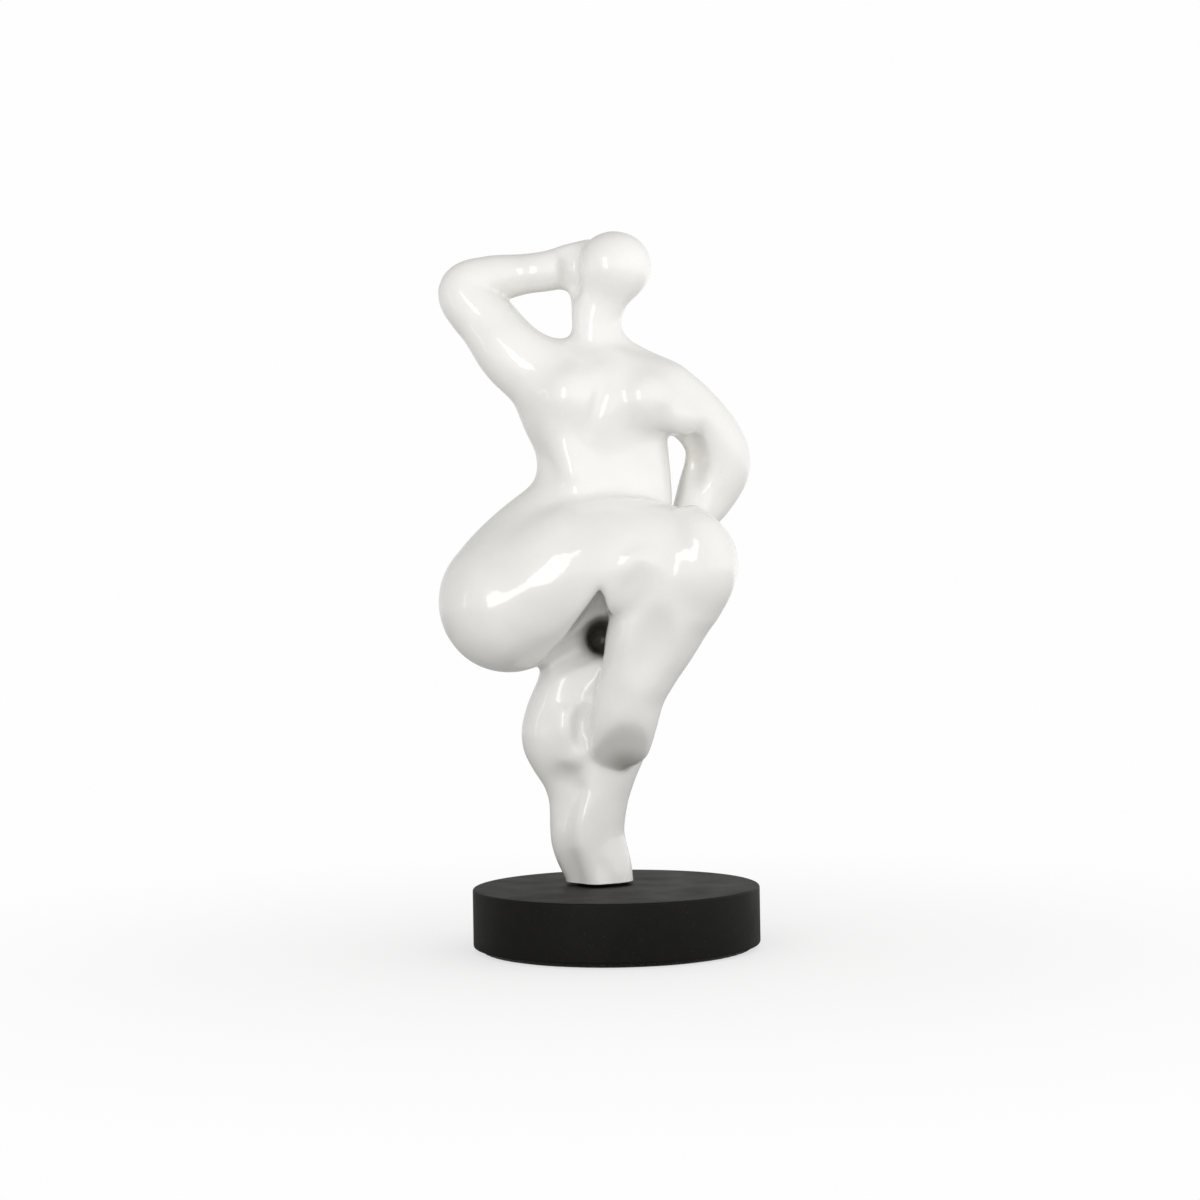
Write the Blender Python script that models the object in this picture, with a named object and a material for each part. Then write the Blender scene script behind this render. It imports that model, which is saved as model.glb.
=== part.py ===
"""A glazed porcelain figure on a round black plinth, bolted up from below.

The figure is one hollow casting: a smooth, faceless standing woman with one arm raised behind the
head, one hand on the hip and one leg crossed in front of the other. A plaster plug in its ankle
holds a steel rod, and the rod passes through the plinth to washers and a nut in a counterbore,
which a felt disc covers.

The row's frame: metres, +Z up, the figure faces -Y, and the origin is the centre of the felt's
underside. The dimensions below are in millimetres, and MM turns them into metres.
"""

import math

import bpy
import numpy as np

MM = 0.001
GAP = 0.3  # clearance wherever two pieces meet

# Plinth: a turned board with a felt disc under it
PLINTH_RADIUS = 70.0
PLINTH_TOP = 30.0
FELT_THICKNESS = 1.7
FELT_INSET = 4.0
PLINTH_BOTTOM = FELT_THICKNESS + GAP
EDGE_ROUND = 1.2
COUNTERBORE_RADIUS = 14.0
COUNTERBORE_DEPTH = 13.0

# Hardware: M8 rod, washers and nut
ROD_RADIUS = 4.0
ROD_LENGTH = 60.0
ROD_CHAMFER = 0.8
ROD_HOLE_RADIUS = 4.5
WASHER_RADIUS = 12.0
WASHER_THICKNESS = 1.6
SPRING_WASHER_RADIUS = 7.4
SPRING_WASHER_THICKNESS = 2.0
SPRING_WASHER_SPLIT = 1.2
NUT_ACROSS_FLATS = 13.0
NUT_HEIGHT = 6.5

# Ankle: gasket, flat foot and tapered socket
GASKET_THICKNESS = 1.0
GASKET_RADIUS = 13.0
FOOT_HEIGHT = GASKET_THICKNESS + 2 * GAP  # the foot's flat underside, above the plinth's top
ANKLE_CENTRE = (-6.5, 11.0)
SOCKET_RADIUS = 8.5
SOCKET_TIP_RADIUS = 7.5
SOCKET_DEPTH = 46.0
PLUG_LENGTH = 38.0
ROD_HOLE_IN_PLUG = 29.0

# Porcelain
WALL = 5.5
CORE_FLOOR = 42.0  # where the hollow stops, below the socket's tip
FAR = 22.0  # the sculpting below takes no notice of a mass that is farther away than this
FIGURE_CELL = 2.6  # grid spacing that the outer surface is found on
CORE_CELL = 4.0  # grid spacing of the hollow
FIGURE_TRIANGLES = 5200
CORE_TRIANGLES = 1900
FIGURE_LOW = (-92.0, -62.0, -12.0)
FIGURE_HIGH = (78.0, 58.0, 326.0)
FOOT_TRIM = 6.0  # how far below the plinth's top the sculpted ankle runs before it is trimmed

# The figure's masses. Each centre or station is x, y and the height above the plinth's top. A limb is
# a row of stations that each end in a radius.
CHEST = ((-6, 5, 234), (36.5, 27, 27.5), -8)  # centre, radii, lean about Y in degrees
WAIST = ((-4.5, 6, 226, 32), (-3, 8, 210, 32.5), (-2.5, 8, 194, 33), (-3, 8, 175, 33))
WAIST_DEPTH = 0.74  # the waist's front-to-back size as a share of its width
RIBS = ((-24, -8, 228, 8), (-19.5, -10.5, 214, 8.5), (-15.5, -10.5, 200, 9), (-12.5, -6, 188, 10))
NECK = ((-5, 7, 256, 13), (-5, 6, 267, 11.5), (-4.5, 4, 278, 11), (-1, 2, 290, 11))
NAPE = ((-12.5, 9, 297, 6.5), (-7.5, 7, 283, 8.5))
HEAD = ((4, 0, 302), (18, 18, 17.4), 0)
COLLARS = (
    ((-34, 3, 258, 7), (-14, 5, 261, 6)),
    ((6, 6, 261, 7), (27, 6, 245, 11)),
    ((5, -4, 248, 12), (24, -1, 242, 13)),
)
BREASTS = (((-17.5, -11.5, 238.5), (14.5, 14, 14), 0), ((18.5, -12.5, 237), (11.5, 12.5, 12), 0))
ARMPIT = ((19, -12.5, 231, 6), (27, -9.5, 229, 6), (36, -3.5, 228, 8))
CLEAVAGE = ((-2.5, -23, 250, 2), (-3, -24, 240, 3), (-6, -24, 229, 3), (-9, -22, 220, 2))
SPINE = ((-7, 36, 258, 2), (-4, 36, 225, 2), (-4, 36, 190, 2))
SEAT_CLEFT = ((-4, 47, 182, 1), (-8, 53, 160, 3), (-9, 50, 132, 3), (-8, 40, 116, 2))
RAISED_ARM = (
    (-31, 1, 248, 18.2),
    (-46, 4, 260.5, 16.8),
    (-57.3, 8, 275.5, 15),
    (-68.9, 12, 291.8, 14.0),
    (-57.4, 12, 297.9, 12.2),
    (-42.2, 9, 300.3, 10.0),
    (-29, 6, 301.4, 9.8),
    (-17.5, 12, 304.5, 10.8),
    (-8, 15, 306, 12.0),
)
HIP_ARM = (
    (20, 6, 239, 17),
    (33, 7, 237, 15),
    (44.6, 12, 227.5, 14.2),
    (52.3, 18, 216.5, 15),
    (54, 23, 205.5, 16.4),
    (48.7, 24, 193, 14.8),
    (42, 20, 181, 11.5),
    (36, 16, 171, 9.5),
)
UPPER_ARM_STATIONS = 4  # the stations of each arm that are hollow
PELVIS = ((-14, 16, 150), (40, 33, 38), 0)
HIP_SLOPE = ((-12, 9, 187, 23.5), (-38, 6.4, 157, 31.5), (-50, 5, 141, 33))
THIGH = ((-50, -5, 138.5, 33), (-8, -12.5, 155, 34.5), (32, -21, 156.5, 26.5), (36.5, -26, 155, 22.8))
KNEE_RIDGE = (
    (38.5, -32, 174, 10),
    (42.5, -36.3, 167, 12.5),
    (45, -37.6, 158, 13.5),
    (44.5, -36.6, 149, 13.5),
    (39.5, -31.5, 138, 12),
)
POCKET = ((-3, -40, 124, 8), (-3.5, -8, 122, 9.5), (-5, 15, 120, 6))
UNDERCUT = ((-4, -6, 122, 7), (-14, -8, 116.5, 7), (-26, -10, 111, 6))
KNEE_FOLD = (  # cut straight back from the front to KNEE_FOLD_BACK
    (-5.5, 0, 144.5, 0.5),
    (-6.5, 0, 137, 4),
    (-9.5, 0, 126, 8),
    (-13.5, 0, 116, 11),
    (-19.5, 0, 106, 13.5),
    (-23.5, 0, 101, 12.5),
)
KNEE_FOLD_BACK = -9
KNEE_DIMPLE = ((8.5, -56, 141), (7.5, 10, 14), 0)
CROSSED_CALF = (
    (32.5, -23, 148, 24.7),
    (20.5, -21, 125, 22.5),
    (14.4, -19, 110, 19),
    (9, -16, 96, 16.8),
    (5.6, -14, 82, 15.8),
    (3.2, -12.5, 69, 14.5),
)
CALF_HOLLOW = ((15, -59.5, 106), (17, 24, 38), 14)
FOOT_CUT = ((6, -159, -73), (200, 200, 200), 0)
STANDING_LEG = (
    (2, 16, 135, 28),
    (-2, 14, 108, 22),
    (1, 11, 88, 19.3),
    (0, 10, 74, 18.4),
    (-6.3, 10, 58, 18),
    (-11.8, 11, 42, 18.4),
    (-13.6, 11, 24, 18.2),
    (-9, 11, 8, 16.8),
    (-6.5, 11, -6, 16),
)
STANDING_CALF = (
    (-14, 12, 110, 20),
    (-19.5, 9, 96, 18),
    (-25.3, 10, 81, 18.5),
    (-26, 10, 71, 18.8),
    (-19.5, 11, 56, 17),
    (-15, 11, 42, 15),
)
SHIN_RIDGE = (
    (-15, 2, 66, 9),
    (-14, 0, 46, 8),
    (-16, -1, 28, 7),
    (-14, -1, 12, 6.5),
    (-9, -1, -4, 6.5),
)
CALF_FRONT = ((-16, 5, 112, 9), (-19.5, -1, 95, 8.5), (-22, -4, 80, 8.5), (-19.5, -1, 66, 10))
SHIN_DIMPLE = ((-15.8, -14.5, 80), (4, 7, 12), 6)
TENDON = ((-7.5, 1, 121, 5), (-9.4, -4, 106, 5), (-10.4, -7, 94, 5), (-12, -5.5, 79, 5))
ANKLE_SIDE = (
    (-25, -13, 48, 11),
    (-29.5, -10.5, 36, 10),
    (-31, -10.5, 20, 10),
    (-26.5, -9.8, 6, 10),
    (-23, -9.5, -8, 10),
)
ELBOW_HOLLOW = ((41.5, 0, 206), (7.5, 17, 15), 0)


# Implicit shapes: each returns the distance in millimetres from points to a surface, negative inside.


def blend(first, second, reach):
    """The union of two shapes, with a fillet where they are within reach of each other."""
    share = np.maximum(reach - np.abs(first - second), 0) / reach
    return np.minimum(first, second) - share**3 * reach / 6


def carve(shape, tool, reach):
    """The shape with the tool taken out of it, and the cut's edge rounded over reach."""
    return -blend(-shape, tool, reach)


def ellipsoid(points, centre, radii, lean=0.0):
    """An ellipsoid, leaning about the Y axis by an angle in degrees."""
    angle = math.radians(lean)
    turn = np.array(
        (
            (math.cos(angle), 0, math.sin(angle)),
            (0, 1, 0),
            (-math.sin(angle), 0, math.cos(angle)),
        )
    )
    scaled = (points - np.array(centre)) @ turn / np.array(radii)
    level = np.linalg.norm(scaled, axis=-1)
    slope = np.linalg.norm(scaled / np.array(radii), axis=-1)
    return level * (level - 1) / np.maximum(slope, 1e-9)


def cone(points, start, end):
    """A round cone between two stations of x, y, z and radius: all the balls from one to the other."""
    length = np.linalg.norm(end[:3] - start[:3])
    axis = (end[:3] - start[:3]) / length
    taper = (end[3] - start[3]) / length
    offset = points - start[:3]
    along = offset @ axis
    aside = np.sqrt(np.maximum((offset**2).sum(axis=-1) - along**2, 0))
    ball = np.clip(along + aside * taper / math.sqrt(1 - taper**2), 0, length)
    return np.hypot(aside, along - ball) - (start[3] + taper * ball)


def curve_through(stations, steps=8):
    """Stations on a smooth Catmull-Rom curve through the given ones."""
    given = np.array(stations, float)
    padded = np.vstack((2 * given[0] - given[1], given, 2 * given[-1] - given[-2]))
    curve = []
    for before, here, there, after in zip(padded, padded[1:], padded[2:], padded[3:]):
        for t in np.arange(steps) / steps:
            curve.append(
                0.5
                * (
                    2 * here
                    + (there - before) * t
                    + (2 * before - 5 * here + 4 * there - after) * t**2
                    + (3 * here - before - 3 * there + after) * t**3
                )
            )
    curve.append(given[-1])
    return np.array(curve)


def limb(points, stations, depth=1.0):
    """A tapering limb along stations, its front-to-back size scaled by depth.

    The distance is true up to FAR, and is FAR everywhere beyond that.
    """
    curve = curve_through(stations)
    scale = np.array((1, 1 / depth, 1))
    middle = np.array((0, curve[:, 1].mean(), 0))
    curve[:, :3] = middle + (curve[:, :3] - middle) * scale
    points = middle + (points - middle) * scale
    reach = curve[:, 3].max() + FAR
    low = curve[:, :3].min(axis=0) - reach
    high = curve[:, :3].max(axis=0) + reach
    near = ((points > low) & (points < high)).all(axis=-1)
    close = points[near]
    distance = np.full(points.shape[:-1], FAR)
    distance[near] = np.min([cone(close, *ends) for ends in zip(curve, curve[1:])], axis=0)
    return distance


def trunk(points):
    shape = blend(ellipsoid(points, *CHEST), limb(points, WAIST, WAIST_DEPTH), 10)
    return blend(shape, limb(points, NECK), 16)


def head(points):
    return blend(ellipsoid(points, *HEAD), limb(points, NECK[1:]), 10)


def hips(points):
    shape = blend(ellipsoid(points, *PELVIS), limb(points, HIP_SLOPE), 10)
    return blend(shape, limb(points, THIGH), 10)


def legs(points, shape):
    """The hips with the standing leg, the fold behind the knee, and the crossed calf in front."""
    standing = blend(limb(points, STANDING_LEG), limb(points, STANDING_CALF), 8)
    standing = blend(standing, limb(points, SHIN_RIDGE), 6)
    standing = blend(standing, limb(points, CALF_FRONT), 8)
    standing = blend(standing, limb(points, TENDON), 7)
    standing = carve(standing, ellipsoid(points, *SHIN_DIMPLE), 6)
    standing = carve(standing, limb(points, ANKLE_SIDE), 9)
    fold = -blend(-limb(points, KNEE_FOLD, 50), KNEE_FOLD_BACK - points[..., 1], 8)
    shape = carve(blend(shape, standing, 9), fold, 6)
    shape = carve(carve(shape, limb(points, POCKET), 8), limb(points, UNDERCUT), 7)
    calf = carve(limb(points, CROSSED_CALF), ellipsoid(points, *CALF_HOLLOW), 8)
    calf = carve(blend(calf, limb(points, KNEE_RIDGE), 9), ellipsoid(points, *FOOT_CUT), 8)
    return carve(blend(shape, calf, 5), ellipsoid(points, *KNEE_DIMPLE), 7)


def figure(points):
    """The outside of the figure."""
    shape = blend(trunk(points), limb(points, RAISED_ARM), 14)
    shape = blend(shape, head(points), 5)
    shape = blend(shape, limb(points, NAPE), 8)
    shape = carve(blend(shape, limb(points, HIP_ARM), 7), ellipsoid(points, *ELBOW_HOLLOW), 8)
    for collar in COLLARS:
        shape = blend(shape, limb(points, collar), 10)
    for breast in BREASTS:
        shape = blend(shape, ellipsoid(points, *breast), 13)
    shape = blend(shape, limb(points, ARMPIT), 11)
    shape = carve(shape, limb(points, CLEAVAGE), 6)
    shape = blend(shape, limb(points, RIBS), 12)
    shape = carve(shape, limb(points, SPINE), 14)
    shape = legs(points, blend(shape, hips(points), 9))
    shape = carve(shape, limb(points, SEAT_CLEFT), 12)
    return np.maximum(shape, -FOOT_TRIM - points[..., 2])


def core(points):
    """The hollow: the trunk, hips, legs and upper arms, less the wall, above the ankle's socket."""
    shape = blend(trunk(points), head(points), 8)
    shape = blend(shape, limb(points, RAISED_ARM[:UPPER_ARM_STATIONS]), 8)
    shape = blend(shape, limb(points, HIP_ARM[:UPPER_ARM_STATIONS]), 7)
    shape = carve(shape, limb(points, SPINE), 14)
    shape = legs(points, blend(shape, hips(points), 9))
    shape = carve(shape, limb(points, SEAT_CLEFT), 12)
    return np.maximum(shape + WALL, CORE_FLOOR - points[..., 2])


# Meshes


def corner_slices(axis, shift):
    """Picks grid lines along axis that bound each cell, shifted by 0 or 1 on the other two axes."""
    picked = [slice(None)] * 3
    others = [a for a in range(3) if a != axis]
    for other, step in zip(others, shift):
        picked[other] = slice(1, None) if step else slice(None, -1)
    return tuple(picked)


def without_pinches(value):
    """The grid's values, filled in where solid points would meet only across a square's diagonal."""
    for _ in range(6):
        for axis in range(3):
            square = np.moveaxis(value, axis, 2)
            a, b, c, d = square[:-1, :-1], square[1:, :-1], square[1:, 1:], square[:-1, 1:]
            solid = [corner < 0 for corner in (a, b, c, d)]
            one_way = solid[0] & solid[2] & ~solid[1] & ~solid[3]
            other_way = solid[1] & solid[3] & ~solid[0] & ~solid[2]
            b[one_way] = -0.01
            a[other_way] = -0.01
    return value


def surface_net(field, low, high, cell):
    """Vertices and quads where field is zero: one vertex in each grid cell that the surface crosses."""
    lines = [np.arange(a, b + cell, cell) for a, b in zip(low, high)]
    grid = np.stack(np.meshgrid(*lines, indexing="ij"), axis=-1)
    value = without_pinches(field(grid))
    inside = value < 0
    cells = tuple(n - 1 for n in value.shape)
    total = np.zeros((*cells, 3))
    count = np.zeros(cells)
    crossings = []
    for axis in range(3):
        first = np.moveaxis(np.moveaxis(value, axis, 0)[:-1], 0, axis)
        last = np.moveaxis(np.moveaxis(value, axis, 0)[1:], 0, axis)
        crossed = (first < 0) != (last < 0)
        place = np.moveaxis(np.moveaxis(grid, axis, 0)[:-1], 0, axis).copy()
        place[..., axis] += cell * first / np.where(crossed, first - last, 1)
        crossings.append(crossed)
        for shift in ((0, 0), (0, 1), (1, 0), (1, 1)):
            picked = corner_slices(axis, shift)
            total += place[picked] * crossed[picked][..., None]
            count += crossed[picked]
    used = count > 0
    number = np.cumsum(used.ravel()).reshape(cells) - 1
    vertices = total[used] / count[used][:, None]
    quads = []
    for axis, crossed in enumerate(crossings):
        at = np.argwhere(crossed)
        across = [a for a in range(3) if a != axis]
        ring = []
        for shift in ((1, 1), (0, 1), (0, 0), (1, 0)):
            neighbour = at.copy()
            neighbour[:, across] -= shift
            ring.append(number[tuple(neighbour.T)])
        quad = np.stack(ring, axis=1)
        faces_on = inside[tuple(at.T)] == (axis != 1)
        quad[~faces_on] = quad[~faces_on][:, ::-1]
        quads.append(quad)
    return vertices, np.vstack(quads)


def settled(field, vertices, rounds=3, nudge=0.2):
    """The vertices moved along the field's slope onto its zero surface."""
    for _ in range(rounds):
        slope = np.zeros_like(vertices)
        for axis, step in enumerate(np.eye(3) * nudge):
            slope[:, axis] = (field(vertices + step) - field(vertices - step)) / (2 * nudge)
        length = np.maximum((slope**2).sum(axis=1, keepdims=True), 0.25)
        vertices = vertices - field(vertices)[:, None] * slope / length
    return vertices


def add_mesh(name, vertices, faces, origin=(0, 0, 0)):
    """An object with the mesh, placed by its origin, all in millimetres."""
    mesh = bpy.data.meshes.new(name)
    mesh.from_pydata((np.array(vertices) * MM).tolist(), [], [list(face) for face in faces])
    mesh.update()
    obj = bpy.data.objects.new(name, mesh)
    obj.location = np.array(origin) * MM
    bpy.context.scene.collection.objects.link(obj)
    return obj


def sculpted(name, field, cell, triangles):
    """A closed surface found on a grid, then thinned to about the given number of triangles."""
    vertices, quads = surface_net(field, FIGURE_LOW, FIGURE_HIGH, cell)
    obj = add_mesh(name, settled(field, vertices), quads, (0, 0, PLINTH_TOP))
    thin = obj.modifiers.new("Thin", "DECIMATE")
    thin.ratio = min(1.0, triangles / (2 * len(quads)))
    return obj


def turned(name, outline, origin, segments=48):
    """A solid turned about Z from an outline of (radius, height) points that runs up its outer side.

    The outline closes on itself when it leaves a hole, and starts and ends on the axis when it is solid.
    """
    on_axis = outline[0][0] == 0
    ring_points = outline[1:-1] if on_axis else outline
    vertices = []
    for step in range(segments):
        angle = 2 * math.pi * step / segments
        vertices += [(r * math.cos(angle), r * math.sin(angle), z) for r, z in ring_points]
    count = len(ring_points)
    faces = []
    for step in range(segments):
        here, there = step * count, (step + 1) % segments * count
        for i in range(count - 1 if on_axis else count):
            j = (i + 1) % count
            faces.append((here + i, there + i, there + j, here + j))
    if on_axis:
        bottom, top = len(vertices), len(vertices) + 1
        vertices += [(0, 0, outline[0][1]), (0, 0, outline[-1][1])]
        for step in range(segments):
            here, there = step * count, (step + 1) % segments * count
            faces.append((bottom, there, here))
            faces.append((top, here + count - 1, there + count - 1))
    return add_mesh(name, vertices, faces, origin)


def rounded_corner(centre, radius, first, last, steps=3):
    """Points of an arc between two angles in degrees, for an outline."""
    angles = np.radians(np.linspace(first, last, steps + 1))
    return [(centre[0] + radius * math.cos(a), centre[1] + radius * math.sin(a)) for a in angles]


def box(name, low, high):
    """A box between two corners."""
    corners = [(x, y, z) for x in (low[0], high[0]) for y in (low[1], high[1]) for z in (low[2], high[2])]
    faces = ((0, 1, 3, 2), (4, 6, 7, 5), (0, 4, 5, 1), (2, 3, 7, 6), (0, 2, 6, 4), (1, 5, 7, 3))
    return add_mesh(name, corners, faces)


def cut(target, tool):
    """Takes tool out of target with a Boolean, and hides the tool."""
    boolean = target.modifiers.new("Cut " + tool.name, "BOOLEAN")
    boolean.operation = "DIFFERENCE"
    boolean.object = tool
    tool.hide_render = True
    tool.display_type = "WIRE"


def finish(obj, colour, roughness, metallic=0.0, sharp=35):
    """Gives the object its own material, and shades it smooth up to an angle."""
    material = bpy.data.materials.new(obj.name)
    material.use_nodes = True
    surface = material.node_tree.nodes["Principled BSDF"]
    surface.inputs["Base Color"].default_value = (*colour, 1)
    surface.inputs["Roughness"].default_value = roughness
    surface.inputs["Metallic"].default_value = metallic
    obj.data.materials.append(material)
    obj.data.shade_smooth()
    obj.data.set_sharp_from_angle(angle=math.radians(sharp))
    return obj


# Pieces


def figure_shell():
    """The hollow casting: the sculpted outside, less the core, the ankle's socket and all below the foot."""
    shell = sculpted("figure_shell", figure, FIGURE_CELL, FIGURE_TRIANGLES)
    hollow = sculpted("figure_core", core, CORE_CELL, CORE_TRIANGLES)
    x, y = ANKLE_CENTRE
    foot = PLINTH_TOP + FOOT_HEIGHT
    socket_outline = (
        (0, -2 * EDGE_ROUND),
        (SOCKET_RADIUS, -2 * EDGE_ROUND),
        (SOCKET_RADIUS, 0),
        (SOCKET_TIP_RADIUS, SOCKET_DEPTH),
        (0, SOCKET_DEPTH),
    )
    socket = turned("ankle_socket", socket_outline, (x, y, foot), 32)
    reach = 60
    below = box("below_foot", (x - reach, y - reach, foot - reach), (x + reach, y + reach, foot))
    for tool in (hollow, socket, below):
        cut(shell, tool)
    return finish(shell, (0.86, 0.86, 0.83), 0.12)


def anchor_plug():
    """Plaster cast in the ankle's socket, round the rod."""
    x, y = ANKLE_CENTRE
    taper = (SOCKET_RADIUS - SOCKET_TIP_RADIUS) / SOCKET_DEPTH
    hole = ROD_RADIUS + GAP
    outline = (
        (hole, 0),
        (SOCKET_RADIUS - GAP, 0),
        (SOCKET_RADIUS - GAP - taper * PLUG_LENGTH, PLUG_LENGTH),
        (hole, PLUG_LENGTH),
    )
    plug = turned("anchor_plug", outline, (x, y, PLINTH_TOP + FOOT_HEIGHT + GAP), 32)
    return finish(plug, (0.78, 0.76, 0.7), 0.9)


def foot_gasket():
    """A thin rubber ring that keeps the porcelain off the plinth."""
    x, y = ANKLE_CENTRE
    outline = (
        (ROD_HOLE_RADIUS, 0),
        (GASKET_RADIUS, 0),
        (GASKET_RADIUS, GASKET_THICKNESS),
        (ROD_HOLE_RADIUS, GASKET_THICKNESS),
    )
    gasket = turned("foot_gasket", outline, (x, y, PLINTH_TOP + GAP), 32)
    return finish(gasket, (0.03, 0.03, 0.03), 0.85)


def plinth_disc():
    """The round board, with rounded edges and the rod's counterbored hole."""
    height = PLINTH_TOP - PLINTH_BOTTOM
    inner = PLINTH_RADIUS - EDGE_ROUND
    outline = [
        (0, 0),
        *rounded_corner((inner, EDGE_ROUND), EDGE_ROUND, -90, 0),
        *rounded_corner((inner, height - EDGE_ROUND), EDGE_ROUND, 0, 90),
        (0, height),
    ]
    plinth = turned("plinth_disc", outline, (0, 0, PLINTH_BOTTOM), 72)
    x, y = ANKLE_CENTRE
    overshoot = 5
    hole_outline = (
        (0, -overshoot),
        (COUNTERBORE_RADIUS, -overshoot),
        (COUNTERBORE_RADIUS, COUNTERBORE_DEPTH),
        (ROD_HOLE_RADIUS, COUNTERBORE_DEPTH),
        (ROD_HOLE_RADIUS, height + overshoot),
        (0, height + overshoot),
    )
    cut(plinth, turned("rod_hole", hole_outline, (x, y, PLINTH_BOTTOM), 40))
    return finish(plinth, (0.012, 0.012, 0.01), 0.5)


def hardware():
    """The rod, and below the plinth the washers and the nut, from the top down."""
    x, y = ANKLE_CENTRE
    steel = ((0.6, 0.6, 0.58), 0.35, 1.0)
    washer_bottom = PLINTH_BOTTOM + COUNTERBORE_DEPTH - GAP - WASHER_THICKNESS
    hole = ROD_RADIUS + GAP
    washer_outline = (
        (hole, 0),
        (WASHER_RADIUS, 0),
        (WASHER_RADIUS, WASHER_THICKNESS),
        (hole, WASHER_THICKNESS),
    )
    finish(turned("flat_washer", washer_outline, (x, y, washer_bottom), 36), *steel)

    spring_bottom = washer_bottom - GAP - SPRING_WASHER_THICKNESS
    spring_outline = (
        (hole, 0),
        (SPRING_WASHER_RADIUS, 0),
        (SPRING_WASHER_RADIUS, SPRING_WASHER_THICKNESS),
        (hole, SPRING_WASHER_THICKNESS),
    )
    spring = turned("spring_washer", spring_outline, (x, y, spring_bottom), 36)
    half_split = SPRING_WASHER_SPLIT / 2
    split = box(
        "spring_washer_split",
        (x - half_split, y, spring_bottom - 1),
        (x + half_split, y + COUNTERBORE_RADIUS, spring_bottom + SPRING_WASHER_THICKNESS + 1),
    )
    cut(spring, split)
    finish(spring, *steel)

    nut_bottom = spring_bottom - GAP - NUT_HEIGHT
    hexagon = NUT_ACROSS_FLATS / 2 / math.cos(math.pi / 6)
    nut_outline = ((0, 0), (hexagon, 0), (hexagon, NUT_HEIGHT), (0, NUT_HEIGHT))
    nut = turned("hex_nut", nut_outline, (x, y, nut_bottom), 6)
    bore_outline = ((0, -1), (hole, -1), (hole, NUT_HEIGHT + 1), (0, NUT_HEIGHT + 1))
    cut(nut, turned("hex_nut_bore", bore_outline, (x, y, nut_bottom), 32))
    finish(nut, *steel)

    rod_bottom = nut_bottom - 1.2
    tip = ROD_RADIUS - ROD_CHAMFER
    rod_outline = (
        (0, 0),
        (tip, 0),
        (ROD_RADIUS, ROD_CHAMFER),
        (ROD_RADIUS, ROD_LENGTH - ROD_CHAMFER),
        (tip, ROD_LENGTH),
        (0, ROD_LENGTH),
    )
    finish(turned("threaded_rod", rod_outline, (x, y, rod_bottom), 32), *steel)


def felt_pad():
    """The felt disc that the object stands on. It covers the counterbore."""
    radius = PLINTH_RADIUS - FELT_INSET
    outline = ((0, 0), (radius, 0), (radius, FELT_THICKNESS), (0, FELT_THICKNESS))
    return finish(turned("felt_pad", outline, (0, 0, 0), 72), (0.02, 0.02, 0.02), 1.0)


def main():
    for obj in list(bpy.data.objects):
        bpy.data.objects.remove(obj)
    figure_shell()
    anchor_plug()
    foot_gasket()
    plinth_disc()
    hardware()
    felt_pad()


main()
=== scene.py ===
"""The looks of the porcelain figure on its round black plinth.

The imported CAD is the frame. The glazed casting is sculpted again here at a fine grain, with the same
masses as the CAD part, and every other piece gets a finely modelled stand-in of its own.
The sculpting works in millimetres from the centre of the plinth's top; MM turns them into metres.
"""

import math

import bpy
import numpy as np
from mathutils import Matrix, Vector


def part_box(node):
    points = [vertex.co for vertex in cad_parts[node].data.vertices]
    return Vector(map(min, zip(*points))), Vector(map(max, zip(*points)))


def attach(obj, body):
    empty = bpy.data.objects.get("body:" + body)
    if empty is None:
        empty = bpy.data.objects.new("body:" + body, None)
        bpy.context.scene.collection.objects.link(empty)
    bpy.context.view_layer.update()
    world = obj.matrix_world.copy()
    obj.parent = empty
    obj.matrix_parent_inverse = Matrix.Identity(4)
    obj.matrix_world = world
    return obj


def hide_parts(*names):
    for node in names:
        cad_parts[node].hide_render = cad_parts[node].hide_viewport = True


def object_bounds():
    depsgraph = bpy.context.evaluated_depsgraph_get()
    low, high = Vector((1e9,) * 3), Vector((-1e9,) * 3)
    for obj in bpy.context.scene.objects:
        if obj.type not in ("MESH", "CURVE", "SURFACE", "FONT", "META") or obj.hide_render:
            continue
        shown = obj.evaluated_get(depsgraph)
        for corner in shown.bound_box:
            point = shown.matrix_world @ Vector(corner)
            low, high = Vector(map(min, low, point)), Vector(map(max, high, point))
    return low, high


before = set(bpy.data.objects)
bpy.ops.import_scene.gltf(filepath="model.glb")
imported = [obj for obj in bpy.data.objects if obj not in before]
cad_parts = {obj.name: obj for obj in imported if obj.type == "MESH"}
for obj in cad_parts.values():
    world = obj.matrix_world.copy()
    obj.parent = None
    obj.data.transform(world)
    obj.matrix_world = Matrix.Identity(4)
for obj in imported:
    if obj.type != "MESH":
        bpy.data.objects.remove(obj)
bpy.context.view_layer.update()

MM = 0.001

FAR = 22.0  # the sculpting takes no notice of a mass that is farther away than this
FOOT_TRIM = 6.0  # how far below the plinth's top the sculpted ankle runs before it is trimmed
GAP = 0.3  # clearance wherever two pieces meet
SOCKET_DEPTH = 46.0
SOCKET_TAPER = 1.0  # how much the socket's radius shrinks over its depth
COUNTERBORE_PLAY = 2.0  # room round the flat washer
ROD_PLAY = 0.5  # room round the rod in the plinth and the gasket
THREAD_PITCH = 1.25
THREAD_DEPTH = 0.7
OVERSHOOT = 5.0  # how far a cutting tool stands out of what it cuts
FOOT_END = (3.3, -15.4, 66.2)  # the middle of the crossed foot's cut end
FOOT_END_FACING = (0.014, -0.718, -0.696)
FOOT_END_SHADE = (5.5, -8.8, 59.5)  # where the painted shade on that end is darkest
FOLD_PAINTED_SHADE = (-4, 12, 121)  # the middle of the painted shade deep behind the bent knee
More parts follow.
